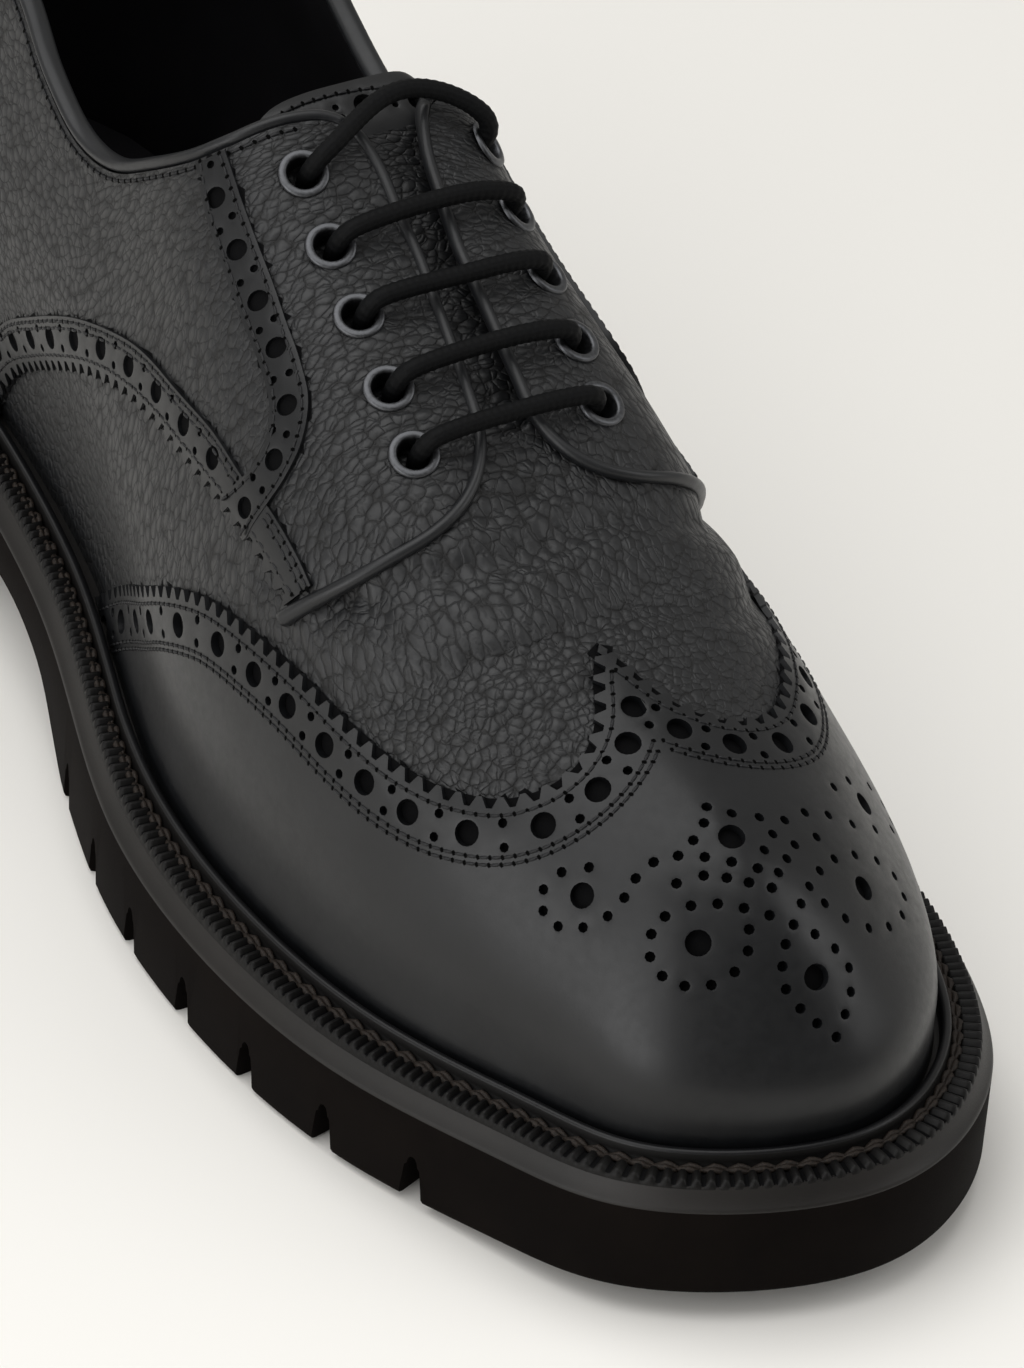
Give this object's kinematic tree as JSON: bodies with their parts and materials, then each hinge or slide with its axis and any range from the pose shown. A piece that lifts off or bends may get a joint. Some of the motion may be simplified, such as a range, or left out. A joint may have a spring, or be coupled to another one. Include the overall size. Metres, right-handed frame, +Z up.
{
  "type": "brogue shoe",
  "caption": "Black full-brogue derby shoe for the right foot, with a wing cap, straight-laced eyelets, storm welt and chunky rubber lug sole.",
  "frame": {"origin": "centre of the bounding box in plan, at the ground under the sole", "axes": "+Z up, +Y from the toe to the heel, -X to the outer (lateral) side of this right shoe"},
  "size_m": [0.1085, 0.308, 0.1208],
  "materials": {
    "polished": "smooth polished black calf",
    "pebbled": "pebble-grain black leather, satin",
    "sole": "matte brown-black rubber",
    "welt": "waxed dark welt leather",
    "lining": "matte near-black lining",
    "cord": "waxed black round cord",
    "metal": "gunmetal"
  },
  "bodies": {
    "root": {"outsole": "sole", "heel": "sole", "welt": "welt", "insole": "lining", "upper": "pebbled", "wing_cap": "polished", "quarter_lateral": "pebbled", "quarter_medial": "pebbled", "strip_lateral": "polished", "strip_medial": "polished", "band_lateral": "polished", "band_medial": "polished", "band_end_lateral": "polished", "band_end_medial": "polished", "tongue": "pebbled", "collar_binding": "polished", "piping_lateral": "polished", "piping_medial": "polished", "eyelet_lateral_1": "metal", "eyelet_lateral_2": "metal", "eyelet_lateral_3": "metal", "eyelet_lateral_4": "metal", "eyelet_lateral_5": "metal", "eyelet_medial_1": "metal", "eyelet_medial_2": "metal", "eyelet_medial_3": "metal", "eyelet_medial_4": "metal", "eyelet_medial_5": "metal", "lace_1": "cord", "lace_2": "cord", "lace_3": "cord", "lace_4": "cord", "lace_5": "cord"}
  },
  "joints": []
}
